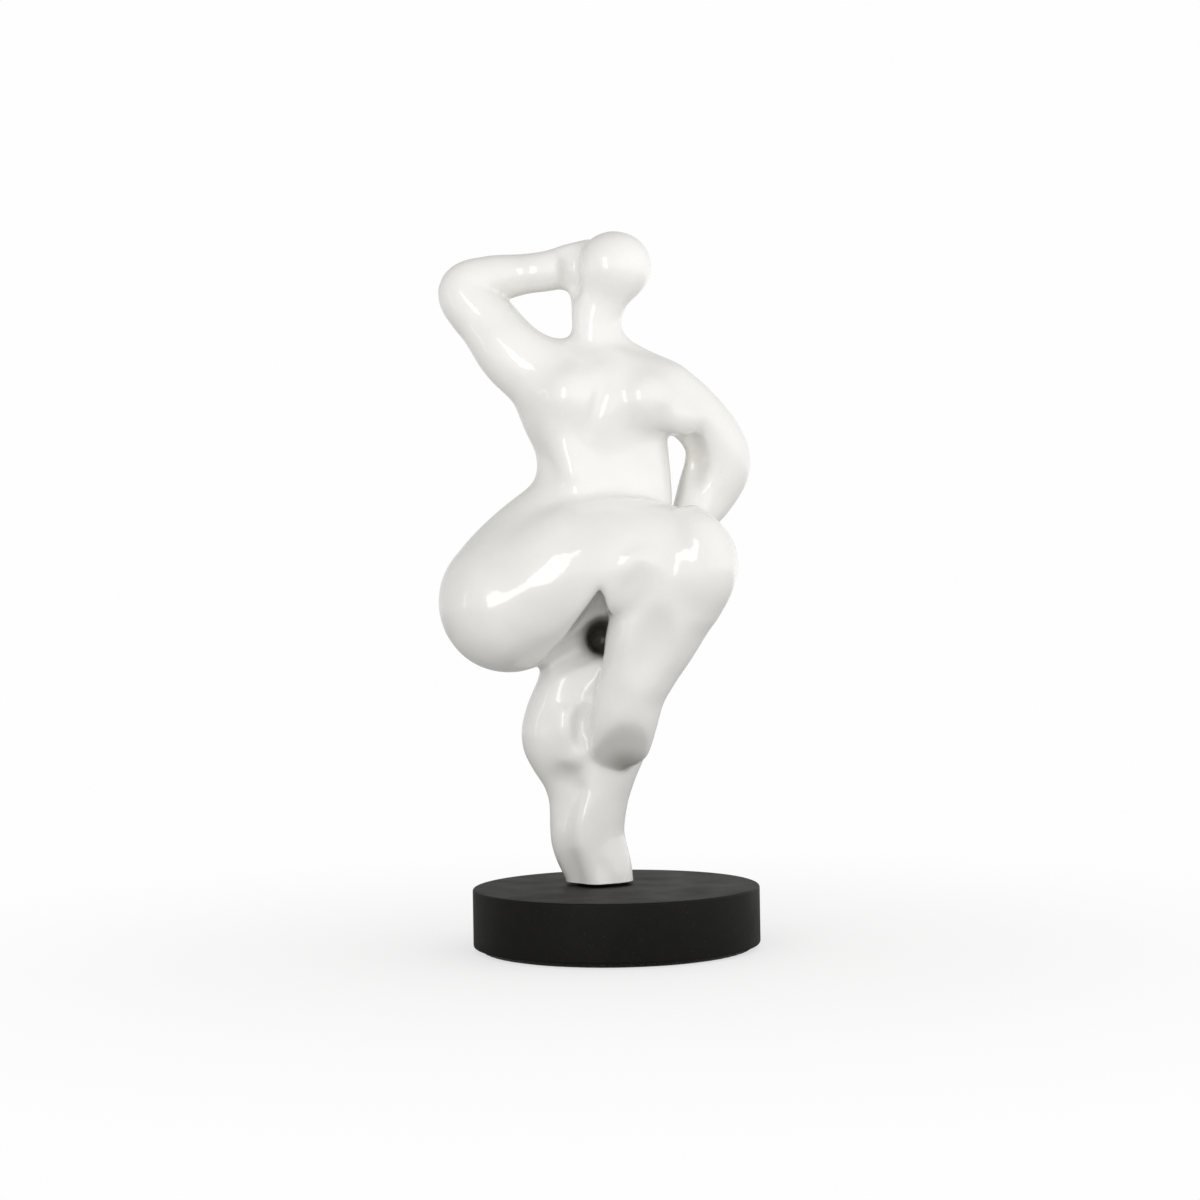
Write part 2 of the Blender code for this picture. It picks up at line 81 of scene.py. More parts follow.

# Relief that the CAD part leaves out, in the same form as the figure's masses below.
HAND_VALLEY = ((-16.5, 1, 318, 3), (-17.5, 0.5, 310, 4), (-17.5, -0.5, 302, 4), (-17, 1.5, 293, 4))
KNEE_ARCH = (  # the low brow over the hollow at the crossed knee
    (2.5, -39.5, 149, 5),
    (6.3, -42.9, 154, 5),
    (10.5, -44.1, 158, 5),
    (14.5, -44.3, 158.8, 5),
    (17.5, -42.8, 155.5, 5),
    (18, -38.5, 150, 5),
)

FIGURE_CELL = 2.4  # grid spacing of the first, coarse surface
FIGURE_LOW = (-92.0, -62.0, -12.0)
FIGURE_HIGH = (78.0, 58.0, 326.0)

# The figure's masses. Each centre or station is x, y and the height above the plinth's top. A limb is
# a row of stations that each end in a radius.
CHEST = ((-6, 5, 234), (36.5, 27, 27.5), -8)  # centre, radii, lean about Y in degrees
WAIST = ((-4.5, 6, 226, 32), (-3, 8, 210, 32.5), (-2.5, 8, 194, 33), (-3, 8, 175, 33))
WAIST_DEPTH = 0.74  # the waist's front-to-back size as a share of its width
RIBS = ((-24, -8, 228, 8), (-19.5, -10.5, 214, 8.5), (-15.5, -10.5, 200, 9), (-12.5, -6, 188, 10))
NECK = ((-5, 7, 256, 13), (-5, 6, 267, 11.5), (-4.5, 4, 278, 11), (-1, 2, 290, 11))
NAPE = ((-12.5, 9, 297, 6.5), (-7.5, 7, 283, 8.5))
HEAD = ((4, 0, 302), (18, 18, 17.4), 0)
COLLARS = (
    ((-34, 3, 258, 7), (-14, 5, 261, 6)),
    ((6, 6, 261, 7), (27, 6, 245, 11)),
    ((5, -4, 248, 12), (24, -1, 242, 13)),
)
BREASTS = (((-17.5, -11.5, 238.5), (14.5, 14, 14), 0), ((18.5, -12.5, 237), (11.5, 12.5, 12), 0))
ARMPIT = ((19, -12.5, 231, 6), (27, -9.5, 229, 6), (36, -3.5, 228, 8))
CLEAVAGE = ((-2.5, -23, 250, 2), (-3, -24, 240, 3), (-6, -24, 229, 3), (-9, -22, 220, 2))
SPINE = ((-7, 36, 258, 2), (-4, 36, 225, 2), (-4, 36, 190, 2))
SEAT_CLEFT = ((-4, 47, 182, 1), (-8, 53, 160, 3), (-9, 50, 132, 3), (-8, 40, 116, 2))
RAISED_ARM = (
    (-31, 1, 248, 18.2),
    (-46, 4, 260.5, 16.8),
    (-57.3, 8, 275.5, 15),
    (-68.9, 12, 291.8, 14.0),
    (-57.4, 12, 297.9, 12.2),
    (-42.2, 9, 300.3, 10.0),
    (-29, 6, 301.4, 9.8),
    (-17.5, 12, 304.5, 10.8),
    (-8, 15, 306, 12.0),
)
HIP_ARM = (
    (20, 6, 239, 17),
    (33, 7, 237, 15),
    (44.6, 12, 227.5, 14.2),
    (52.3, 18, 216.5, 15),
    (54, 23, 205.5, 16.4),
    (48.7, 24, 193, 14.8),
    (42, 20, 181, 11.5),
    (36, 16, 171, 9.5),
)
PELVIS = ((-14, 16, 150), (40, 33, 38), 0)
HIP_SLOPE = ((-12, 9, 187, 23.5), (-38, 6.4, 157, 31.5), (-50, 5, 141, 33))
THIGH = ((-50, -5, 138.5, 33), (-8, -12.5, 155, 34.5), (32, -21, 156.5, 26.5), (36.5, -26, 155, 22.8))
KNEE_RIDGE = (
    (38.5, -32, 174, 10),
    (42.5, -36.3, 167, 12.5),
    (45, -37.6, 158, 13.5),
    (44.5, -36.6, 149, 13.5),
    (39.5, -31.5, 138, 12),
)
POCKET = ((-3, -40, 124, 8), (-3.5, -8, 122, 9.5), (-5, 15, 120, 6))
UNDERCUT = ((-4, -6, 122, 7), (-14, -8, 116.5, 7), (-26, -10, 111, 6))
KNEE_FOLD = (  # cut straight back from the front to KNEE_FOLD_BACK
    (-5.5, 0, 144.5, 0.5),
    (-6.5, 0, 137, 4),
    (-9.5, 0, 126, 8),
    (-13.5, 0, 116, 11),
    (-19.5, 0, 106, 13.5),
    (-23.5, 0, 101, 12.5),
)
KNEE_FOLD_BACK = -9
KNEE_DIMPLE = ((8.5, -56, 141), (7.5, 10, 14), 0)
CROSSED_CALF = (
    (32.5, -23, 148, 24.7),
    (20.5, -21, 125, 22.5),
    (14.4, -19, 110, 19),
    (9, -16, 96, 16.8),
    (5.6, -14, 82, 15.8),
    (3.2, -12.5, 69, 14.5),
)
CALF_HOLLOW = ((15, -59.5, 106), (17, 24, 38), 14)
FOOT_CUT = ((6, -159, -73), (200, 200, 200), 0)
STANDING_LEG = (
    (2, 16, 135, 28),
    (-2, 14, 108, 22),
    (1, 11, 88, 19.3),
    (0, 10, 74, 18.4),
    (-6.3, 10, 58, 18),
    (-11.8, 11, 42, 18.4),
    (-13.6, 11, 24, 18.2),
    (-9, 11, 8, 16.8),
    (-6.5, 11, -6, 16),
)
STANDING_CALF = (
    (-14, 12, 110, 20),
    (-19.5, 9, 96, 18),
    (-25.3, 10, 81, 18.5),
    (-26, 10, 71, 18.8),
    (-19.5, 11, 56, 17),
    (-15, 11, 42, 15),
)
SHIN_RIDGE = (
    (-15, 2, 66, 9),
    (-14, 0, 46, 8),
    (-16, -1, 28, 7),
    (-14, -1, 12, 6.5),
    (-9, -1, -4, 6.5),
)
CALF_FRONT = ((-16, 5, 112, 9), (-19.5, -1, 95, 8.5), (-22, -4, 80, 8.5), (-19.5, -1, 66, 10))
SHIN_DIMPLE = ((-15.8, -14.5, 80), (4, 7, 12), 6)
TENDON = ((-7.5, 1, 121, 5), (-9.4, -4, 106, 5), (-10.4, -7, 94, 5), (-12, -5.5, 79, 5))
ANKLE_SIDE = (
    (-25, -13, 48, 11),
    (-29.5, -10.5, 36, 10),
    (-31, -10.5, 20, 10),
    (-26.5, -9.8, 6, 10),
    (-23, -9.5, -8, 10),
)
ELBOW_HOLLOW = ((41.5, 0, 206), (7.5, 17, 15), 0)


# Implicit shapes: each returns the distance in millimetres from points to a surface, negative inside.


def blend(first, second, reach):
    """The union of two shapes, with a fillet where they are within reach of each other."""
    share = np.maximum(reach - np.abs(first - second), 0) / reach
    return np.minimum(first, second) - share**3 * reach / 6


def carve(shape, tool, reach):
    """The shape with the tool taken out of it, and the cut's edge rounded over reach."""
    return -blend(-shape, tool, reach)


def ellipsoid(points, centre, radii, lean=0.0):
    """An ellipsoid, leaning about the Y axis by an angle in degrees."""
    angle = math.radians(lean)
    turn = np.array(
        (
            (math.cos(angle), 0, math.sin(angle)),
            (0, 1, 0),
            (-math.sin(angle), 0, math.cos(angle)),
        )
    )
    scaled = (points - np.array(centre)) @ turn / np.array(radii)
    level = np.linalg.norm(scaled, axis=-1)
    slope = np.linalg.norm(scaled / np.array(radii), axis=-1)
    return level * (level - 1) / np.maximum(slope, 1e-9)


def cone(points, start, end):
    """A round cone between two stations of x, y, z and radius: all the balls from one to the other."""
    length = np.linalg.norm(end[:3] - start[:3])
    axis = (end[:3] - start[:3]) / length
    taper = (end[3] - start[3]) / length
    offset = points - start[:3]
    along = offset @ axis
    aside = np.sqrt(np.maximum((offset**2).sum(axis=-1) - along**2, 0))
    ball = np.clip(along + aside * taper / math.sqrt(1 - taper**2), 0, length)
    return np.hypot(aside, along - ball) - (start[3] + taper * ball)


def curve_through(stations, steps=8):
    """Stations on a smooth Catmull-Rom curve through the given ones."""
    given = np.array(stations, float)
    padded = np.vstack((2 * given[0] - given[1], given, 2 * given[-1] - given[-2]))
    curve = []
    for before, here, there, after in zip(padded, padded[1:], padded[2:], padded[3:]):
        for t in np.arange(steps) / steps:
            curve.append(
                0.5
                * (
                    2 * here
                    + (there - before) * t
                    + (2 * before - 5 * here + 4 * there - after) * t**2
                    + (3 * here - before - 3 * there + after) * t**3
                )
            )
    curve.append(given[-1])
    return np.array(curve)


def limb(points, stations, depth=1.0):
    """A tapering limb along stations, its front-to-back size scaled by depth.

    The distance is true up to FAR, and is FAR everywhere beyond that.
    """
    curve = curve_through(stations)
    scale = np.array((1, 1 / depth, 1))
    middle = np.array((0, curve[:, 1].mean(), 0))
    curve[:, :3] = middle + (curve[:, :3] - middle) * scale
    points = middle + (points - middle) * scale
    reach = curve[:, 3].max() + FAR
    low = curve[:, :3].min(axis=0) - reach
    high = curve[:, :3].max(axis=0) + reach
    near = ((points > low) & (points < high)).all(axis=-1)
    close = points[near]
    distance = np.full(points.shape[:-1], FAR)
    distance[near] = np.min([cone(close, *ends) for ends in zip(curve, curve[1:])], axis=0)
    return distance


def trunk(points):
    shape = blend(ellipsoid(points, *CHEST), limb(points, WAIST, WAIST_DEPTH), 10)
    return blend(shape, limb(points, NECK), 16)


def head(points):
    return blend(ellipsoid(points, *HEAD), limb(points, NECK[1:]), 10)


def hips(points):
    shape = blend(ellipsoid(points, *PELVIS), limb(points, HIP_SLOPE), 10)
    return blend(shape, limb(points, THIGH), 10)


def legs(points, shape):
    """The hips with the standing leg, the fold behind the knee, and the crossed calf in front."""
    standing = blend(limb(points, STANDING_LEG), limb(points, STANDING_CALF), 8)
    standing = blend(standing, limb(points, SHIN_RIDGE), 6)
    standing = blend(standing, limb(points, CALF_FRONT), 8)
    standing = blend(standing, limb(points, TENDON), 7)
    standing = carve(standing, ellipsoid(points, *SHIN_DIMPLE), 6)
    standing = carve(standing, limb(points, ANKLE_SIDE), 9)
    fold = -blend(-limb(points, KNEE_FOLD, 50), KNEE_FOLD_BACK - points[..., 1], 8)
    shape = carve(blend(shape, standing, 9), fold, 6)
    shape = carve(carve(shape, limb(points, POCKET), 8), limb(points, UNDERCUT), 7)
    calf = carve(limb(points, CROSSED_CALF), ellipsoid(points, *CALF_HOLLOW), 8)
    calf = carve(blend(calf, limb(points, KNEE_RIDGE), 9), ellipsoid(points, *FOOT_CUT), 8)
    return carve(blend(shape, calf, 5), ellipsoid(points, *KNEE_DIMPLE), 7)


def figure(points):
    """The outside of the figure."""
    shape = blend(trunk(points), limb(points, RAISED_ARM), 14)
    shape = blend(shape, head(points), 5)
    shape = blend(shape, limb(points, NAPE), 8)
    shape = carve(blend(shape, limb(points, HIP_ARM), 7), ellipsoid(points, *ELBOW_HOLLOW), 8)
    for collar in COLLARS:
        shape = blend(shape, limb(points, collar), 10)
    for breast in BREASTS:
        shape = blend(shape, ellipsoid(points, *breast), 13)
    shape = blend(shape, limb(points, ARMPIT), 11)
    shape = carve(shape, limb(points, CLEAVAGE), 6)
    shape = blend(shape, limb(points, RIBS), 12)
    shape = carve(shape, limb(points, SPINE), 14)
    shape = legs(points, blend(shape, hips(points), 9))
    shape = carve(shape, limb(points, SEAT_CLEFT), 12)
    return np.maximum(shape, -FOOT_TRIM - points[..., 2])


# Meshes


def corner_slices(axis, shift):
    """Picks grid lines along axis that bound each cell, shifted by 0 or 1 on the other two axes."""
    picked = [slice(None)] * 3
    others = [a for a in range(3) if a != axis]
    for other, step in zip(others, shift):
        picked[other] = slice(1, None) if step else slice(None, -1)
    return tuple(picked)


def without_pinches(value):
    """The grid's values, filled in where solid points would meet only across a square's diagonal."""
    for _ in range(6):
        for axis in range(3):
            square = np.moveaxis(value, axis, 2)
            a, b, c, d = square[:-1, :-1], square[1:, :-1], square[1:, 1:], square[:-1, 1:]
            solid = [corner < 0 for corner in (a, b, c, d)]
            one_way = solid[0] & solid[2] & ~solid[1] & ~solid[3]
            other_way = solid[1] & solid[3] & ~solid[0] & ~solid[2]
            b[one_way] = -0.01
            a[other_way] = -0.01
    return value


def surface_net(field, low, high, cell):
    """Vertices and quads where field is zero: one vertex in each grid cell that the surface crosses."""
    lines = [np.arange(a, b + cell, cell) for a, b in zip(low, high)]
    grid = np.stack(np.meshgrid(*lines, indexing="ij"), axis=-1)
    value = without_pinches(field(grid))
    inside = value < 0
    cells = tuple(n - 1 for n in value.shape)
    total = np.zeros((*cells, 3))
    count = np.zeros(cells)
    crossings = []
    for axis in range(3):
        first = np.moveaxis(np.moveaxis(value, axis, 0)[:-1], 0, axis)
        last = np.moveaxis(np.moveaxis(value, axis, 0)[1:], 0, axis)
        crossed = (first < 0) != (last < 0)
        place = np.moveaxis(np.moveaxis(grid, axis, 0)[:-1], 0, axis).copy()
        place[..., axis] += cell * first / np.where(crossed, first - last, 1)
        crossings.append(crossed)
        for shift in ((0, 0), (0, 1), (1, 0), (1, 1)):
            picked = corner_slices(axis, shift)
            total += place[picked] * crossed[picked][..., None]
            count += crossed[picked]
    used = count > 0
    number = np.cumsum(used.ravel()).reshape(cells) - 1
    vertices = total[used] / count[used][:, None]
    quads = []
    for axis, crossed in enumerate(crossings):
        at = np.argwhere(crossed)
        across = [a for a in range(3) if a != axis]
        ring = []
        for shift in ((1, 1), (0, 1), (0, 0), (1, 0)):
            neighbour = at.copy()
            neighbour[:, across] -= shift
            ring.append(number[tuple(neighbour.T)])
        quad = np.stack(ring, axis=1)
        faces_on = inside[tuple(at.T)] == (axis != 1)
        quad[~faces_on] = quad[~faces_on][:, ::-1]
        quads.append(quad)
    return vertices, np.vstack(quads)


def settled(field, vertices, rounds=3, nudge=0.2):
    """The vertices moved along the field's slope onto its zero surface."""
    for _ in range(rounds):
        slope = np.zeros_like(vertices)
        for axis, step in enumerate(np.eye(3) * nudge):
            slope[:, axis] = (field(vertices + step) - field(vertices - step)) / (2 * nudge)
        length = np.maximum((slope**2).sum(axis=1, keepdims=True), 0.25)
        vertices = vertices - field(vertices)[:, None] * slope / length
    return vertices


def add_mesh(name, vertices, faces, origin=(0, 0, 0)):
    """A piece with the mesh in millimetres, placed by its origin in metres."""
    mesh = bpy.data.meshes.new(name)
    placed = np.array(vertices) * MM + np.array(origin)
    mesh.from_pydata(placed.tolist(), [], [list(face) for face in faces])
    mesh.update()
    obj = bpy.data.objects.new(name, mesh)
    bpy.context.scene.collection.objects.link(obj)
    return obj


def catmull_clark(vertices, quads):
    """The quads subdivided once with Blender's own modifier."""
    obj = add_mesh("subdividing", vertices, quads)
    subdivide = obj.modifiers.new("Subdivide", "SUBSURF")
    subdivide.levels = subdivide.render_levels = 1
    result = obj.evaluated_get(bpy.context.evaluated_depsgraph_get()).to_mesh()
    finer = np.zeros(len(result.vertices) * 3)
    result.vertices.foreach_get("co", finer)
    corners = np.zeros(len(result.polygons) * 4, int)
    result.polygons.foreach_get("vertices", corners)
    bpy.data.objects.remove(obj)
    return finer.reshape(-1, 3) / MM, corners.reshape(-1, 4)


def evened(vertices, quads, rounds):
    """Each vertex moved half way to the middle of its neighbours, a few times."""
    edges = np.vstack([quads[:, (i, (i + 1) % 4)] for i in range(4)])
    for _ in range(rounds):
        total = np.zeros_like(vertices)
        count = np.zeros(len(vertices))
        np.add.at(total, edges[:, 0], vertices[edges[:, 1]])
        np.add.at(count, edges[:, 0], 1)
        vertices = vertices + 0.5 * (total / count[:, None] - vertices)
    return vertices


def handmade(points):
    """The soft waves that smoothing by hand leaves, in millimetres along the surface's normal."""
    waves = (
        ((0.21, 0.13, 0.09), 0.4, 0.03),
        ((-0.11, 0.24, 0.17), 2.1, 0.03),
        ((0.16, -0.18, 0.27), 4.4, 0.02),
        ((0.43, 0.31, -0.22), 1.3, 0.02),
        ((-0.35, 0.12, 0.46), 5.2, 0.02),
    )
    return sum(size * np.sin(points @ np.array(pitch) + start) for pitch, start, size in waves)


def seat(node):
    """The middle of a CAD piece's underside, and its outer radius and height in millimetres."""
    low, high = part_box(node)
    origin = ((low + high) / 2).xy.to_3d()
    origin.z = low.z
    return origin, (high.x - low.x) / 2 / MM, (high.z - low.z) / MM


def plinth_top():
    """The point that the sculpting is measured from, in metres."""
    origin, _, height = seat("plinth_disc")
    return origin + Vector((0, 0, height * MM))


def swept(name, outline_at, origin, segments=96, start=0.0, end=360.0):
    """A solid swept about Z; outline_at gives the (radius, height) points at an angle in radians.

    An outline that starts and ends on the axis makes a solid core; any other one closes on itself.
    A sweep that stops short of a full turn is closed with flat ends.
    """
    whole = end - start >= 360
    angles = np.radians(np.linspace(start, end, segments + 1))
    if whole:
        angles = angles[:-1]
    outlines = [outline_at(angle) for angle in angles]
    on_axis = outlines[0][0][0] == 0
    rings = [outline[1:-1] if on_axis else outline for outline in outlines]
    count = len(rings[0])
    vertices = [
        (r * math.cos(angle), r * math.sin(angle), z)
        for angle, ring in zip(angles, rings)
        for r, z in ring
    ]
    faces = []
    for step in range(segments):
        here, there = step * count, (step + 1) % len(angles) * count
        for i in range(count - 1 if on_axis else count):
            j = (i + 1) % count
            faces.append((here + i, there + i, there + j, here + j))
        if on_axis:
            bottom, top = len(angles) * count, len(angles) * count + 1
            faces.append((bottom, there, here))
            faces.append((top, here + count - 1, there + count - 1))
    if on_axis:
        vertices += [(0, 0, outlines[0][0][1]), (0, 0, outlines[0][-1][1])]
    if not whole:
        last = (len(angles) - 1) * count
        faces.append(tuple(range(count)))
        faces.append(tuple(range(last + count - 1, last - 1, -1)))
    return add_mesh(name, vertices, faces, origin)


def rounded(centre, radius, first, last, steps=6):
    """Points of an arc between two angles in degrees, for an outline."""
    angles = np.radians(np.linspace(first, last, steps + 1))
    return [(centre[0] + radius * math.cos(a), centre[1] + radius * math.sin(a)) for a in angles]


def ring_outline(hole, outside, height, edge):
    """The outline of a flat ring with rounded edges."""
    return [
        *rounded((hole + edge, edge), edge, 180, 270),
        *rounded((outside - edge, edge), edge, -90, 0),
        *rounded((outside - edge, height - edge), edge, 0, 90),
        *rounded((hole + edge, height - edge), edge, 90, 180),
    ]


def thread(angle, height, low, high):
    """The radius of a screw thread at an angle and a height: flat crests, flat roots and slopes."""
    turn = (height / THREAD_PITCH - angle / (2 * math.pi)) % 1.0
    slope = min(1.0, max(0.0, 2.7 * (1 - abs(2 * turn - 1)) - 0.85))
    return low + (high - low) * slope


def take_out(target, *tools):
    """Cuts the tools out of the target, and removes them."""
    for tool in tools:
        boolean = target.modifiers.new(tool.name, "BOOLEAN")
        boolean.operation = "DIFFERENCE"
        boolean.solver = "EXACT"
        boolean.object = tool
    mesh = bpy.data.meshes.new_from_object(
        target.evaluated_get(bpy.context.evaluated_depsgraph_get())
    )
    target.modifiers.clear()
    target.data = mesh
    for tool in tools:
        bpy.data.objects.remove(tool)


def stand_in(piece, node, material, sharp=35):
    """Makes the piece take the place of a CAD node."""
    piece.data.materials.clear()
    piece.data.materials.append(material)
    piece.data.shade_smooth()
    piece.data.set_sharp_from_angle(angle=math.radians(sharp))
    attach(piece, "root")
    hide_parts(node)
    return piece


def box_piece(name, low, high):
    """A box between two corners in metres."""
    corners = [(x, y, z) for x in (low[0], high[0]) for y in (low[1], high[1]) for z in (low[2], high[2])]
    faces = ((0, 1, 3, 2), (4, 6, 7, 5), (0, 4, 5, 1), (2, 3, 7, 6), (0, 2, 6, 4), (1, 5, 7, 3))
    return add_mesh(name, np.array(corners) / MM, faces)


# Pieces


def detailed_figure(points):
    """The figure with the fine relief that the CAD part leaves out."""
    shape = carve(figure(points), limb(points, HAND_VALLEY), 8)
    return blend(shape, limb(points, KNEE_ARCH), 6)


def figure_piece():
    """The glazed casting's fine surface, trimmed flat at the foot, with the socket for the plug."""

    def waved(points):
        return detailed_figure(points) - handmade(points)

    vertices, quads = surface_net(waved, FIGURE_LOW, FIGURE_HIGH, FIGURE_CELL)
    vertices = settled(waved, vertices, 2)
    vertices, quads = catmull_clark(vertices, quads)
    vertices = evened(vertices, quads, 3)
    vertices = evened(settled(waved, vertices, 1), quads, 2)
    piece = add_mesh("porcelain_figure", vertices, quads, plinth_top())
    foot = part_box("figure_shell")[0].z
    plug, radius, _ = seat("anchor_plug")
    mouth = Vector((plug.x, plug.y, foot))
    reach = Vector((0.06, 0.06, 0.05))
    below = box_piece("below_foot", mouth - reach, mouth + Vector((reach.x, reach.y, 0)))
    width = radius + GAP
    outline = [
        (0, -OVERSHOOT),
        (width, -OVERSHOOT),
        (width, 0),
        (width - SOCKET_TAPER, SOCKET_DEPTH),
        (0, SOCKET_DEPTH),
    ]
    take_out(piece, below, swept("socket", lambda angle: outline, mouth, 64))
    return stand_in(piece, "figure_shell", glaze(), 50)


def plinth_piece():
    """The board: rounded rims that are not quite even, and the counterbored hole for the rod."""
    origin, radius, height = seat("plinth_disc")
    rod, rod_radius, _ = seat("threaded_rod")
    washer, washer_radius, washer_height = seat("flat_washer")

    def outline(angle):
        edge = 1.1 + 0.15 * math.sin(3 * angle + 1) + 0.1 * math.sin(7 * angle)
        side = radius - 0.03 * (1 + math.sin(5 * angle + 2))
        rings = np.linspace(0.1, 1, 8, endpoint=False) * (side - edge)
        return [
            (0, 0),
            *[(r, 0) for r in rings],
            *rounded((side - edge, edge), edge, -90, 0),
            *rounded((side - edge, height - edge), edge, 0, 90, 8),
            *[(r, height) for r in rings[::-1]],
            (0, height),
        ]

    board = swept("black_plinth", outline, origin, 288)
    wide, narrow = washer_radius + COUNTERBORE_PLAY, rod_radius + ROD_PLAY
    depth = (washer.z - origin.z) / MM + washer_height + GAP
    bore = [
        (0, -OVERSHOOT),
        (wide, -OVERSHOOT),
        (wide, depth),
        (narrow, depth),
        (narrow, height + OVERSHOOT),
        (0, height + OVERSHOOT),
    ]
    place = Vector((rod.x, rod.y, origin.z))
    take_out(board, swept("bore", lambda angle: bore, place, 96))
    return stand_in(board, "plinth_disc", black_lacquer(), 40)


def felt_piece():
    """The felt disc, with a soft cut edge and a nap that stands up in places."""
    origin, radius, height = seat("felt_pad")

    def outline(angle):
        side = radius - 0.12 * (1 + math.sin(23 * angle) * math.sin(37 * angle + 1))
        rings = np.linspace(0.03, 1, 40, endpoint=False) * (side - 0.5)
        nap = [0.06 * (1 + math.sin(r * 1.9 + 17 * angle) * math.sin(r * 0.7 - 29 * angle)) for r in rings]
        return [
            (0, 0),
            *[(r, 0.4 * up) for r, up in zip(rings, nap)],
            *rounded((side - 0.5, 0.5), 0.5, -90, 0, 4),
            *rounded((side - 0.5, height - 0.5), 0.5, 0, 90, 4),
            *[(r, height - up) for r, up in zip(rings[::-1], nap[::-1])],
            (0, height),
        ]

    return stand_in(swept("felt_pad_fine", outline, origin, 288), "felt_pad", felt(), 60)


def gasket_piece():
    """The rubber ring under the foot, squeezed out a little at its rims."""
    origin, radius, height = seat("foot_gasket")
    hole = seat("threaded_rod")[1] + ROD_PLAY
    half = height / 2
    outline = [
        *rounded((hole + half, half), half, 180, 270, 8),
        *rounded((radius - half, half), half, -90, 90, 12),
        *rounded((hole + half, half), half, 90, 172, 7),
    ]
    return stand_in(swept("foot_gasket_fine", lambda a: outline, origin, 144), "foot_gasket", rubber())


def plug_piece():
    """Plaster poured into the ankle: tapered, slightly lumpy, with a dished end."""
    origin, radius, height = seat("anchor_plug")
    hole = seat("threaded_rod")[1] + GAP

    def outline(angle):
        side = []
        for up in np.linspace(0, 1, 40):
            lump = 0.08 * (1 + math.sin(5 * angle + 9 * up) * math.sin(3 * angle - 14 * up + 2))
            side.append((radius - lump - up * height * SOCKET_TAPER / SOCKET_DEPTH, up * height))
        rim = side[-1][0]
        dish = [
            (rim - step * (rim - hole), height - 0.9 * math.sin(math.pi * step))
            for step in (0.2, 0.4, 0.6, 0.8)
        ]
        bore = [(hole, height * up) for up in np.linspace(0.99, 0.01, 12)]
        return [(hole, 0), *side, *dish, (hole, height), *bore]

    return stand_in(swept("plaster_plug", outline, origin, 96), "anchor_plug", plaster(), 40)


def rod_piece(metal):
    """The zinc-plated rod, threaded from end to end, with bevelled tips."""
    origin, radius, length = seat("threaded_rod")
    heights = np.arange(0, length + 0.001, THREAD_PITCH / 12)
    heights[-1] = length
    bevelled = 0.9

    def outline(angle):
        turns = []
        for up in heights:
            bevel = radius - bevelled + bevelled * min(1.0, up, length - up)
            turns.append((min(bevel, thread(angle, up, radius - THREAD_DEPTH, radius)), up))
        return [(0, 0), *turns, (0, length)]

    return stand_in(swept("threaded_rod_fine", outline, origin, 48), "threaded_rod", metal, 60)


def nut_piece(metal):
    """The hexagonal nut: bevelled corners and a threaded bore."""
    origin, radius, height = seat("hex_nut")
    across = radius * math.cos(math.pi / 6)
    flat = 0.94 * across  # the bevelled ends keep this much of the width across the flats
    crests = seat("threaded_rod")[1] + 0.2
    roots = crests + 0.45
    countersink = 0.5

    def outline(angle):
        side = across / math.cos(angle % (math.pi / 3) - math.pi / 6)
        bevel = (side - flat) * math.tan(math.radians(30))
        bore = []
        for up in np.linspace(height, 0, 60):
            mouth = max(0.0, countersink - min(up, height - up))
            bore.append((thread(angle, up, crests, roots) + mouth, up))
        return [(flat, 0), (side, bevel), (side, height - bevel), (flat, height), *bore]

    return stand_in(swept("hex_nut_fine", outline, origin, 144), "hex_nut", metal, 40)


def washer_pieces(metal):
    """The flat washer and, under it, the split spring washer."""
    hole = seat("threaded_rod")[1] + GAP
    origin, radius, height = seat("flat_washer")
    outline = ring_outline(hole, radius, height, 0.25)
    stand_in(swept("flat_washer_fine", lambda a: outline, origin, 144), "flat_washer", metal)
    origin, radius, height = seat("spring_washer")
    split = ring_outline(hole, radius, height, 0.3)
    half_gap = 6.0  # degrees
    ring = swept("spring_washer_fine", lambda a: split, origin, 120, 90 + half_gap, 450 - half_gap)
    slant = math.radians(7)
    for vertex in ring.data.vertices:
        offset = vertex.co - origin
        turn = Matrix.Rotation(slant * (offset.z / MM / height - 0.5), 3, "Z")
        vertex.co = origin + turn @ offset
    stand_in(ring, "spring_washer", metal)


# Materials


def new_material(slot, roughness, metallic=0.0):
    """A Principled material, and its nodes, links and surface shader.

    Its own name differs from the slot's, which the CAD's material already has.
    """
    material = bpy.data.materials.new("fine_" + slot)
    material["slot"] = slot
    material.use_nodes = True
    tree = material.node_tree
    surface = tree.nodes["Principled BSDF"]
    surface.inputs["Roughness"].default_value = roughness
    surface.inputs["Metallic"].default_value = metallic
    return material, tree.nodes, tree.links, surface


def noise(nodes, links, scale, detail=3.0, stretch=(1, 1, 1)):
    """A noise that is laid out in metres over the whole model."""
    place = nodes.new("ShaderNodeTexCoord")
    mapping = nodes.new("ShaderNodeMapping")
    mapping.inputs["Scale"].default_value = stretch
    texture = nodes.new("ShaderNodeTexNoise")
    texture.inputs["Scale"].default_value = scale
    texture.inputs["Detail"].default_value = detail
    links.new(place.outputs["Object"], mapping.inputs["Vector"])
    links.new(mapping.outputs["Vector"], texture.inputs["Vector"])
    return texture.outputs["Fac"]


def ramp(nodes, links, value, *stops):
    """The value turned into colours or greys by (position, colour) stops."""
    tones = nodes.new("ShaderNodeValToRGB")
    elements = tones.color_ramp.elements
    while len(elements) < len(stops):
        elements.new(0.5)
    for element, (position, colour) in zip(elements, stops):
        element.position = position
        element.color = (*colour, 1) if isinstance(colour, tuple) else (colour, colour, colour, 1)
    links.new(value, tones.inputs["Fac"])
    return tones.outputs["Color"]


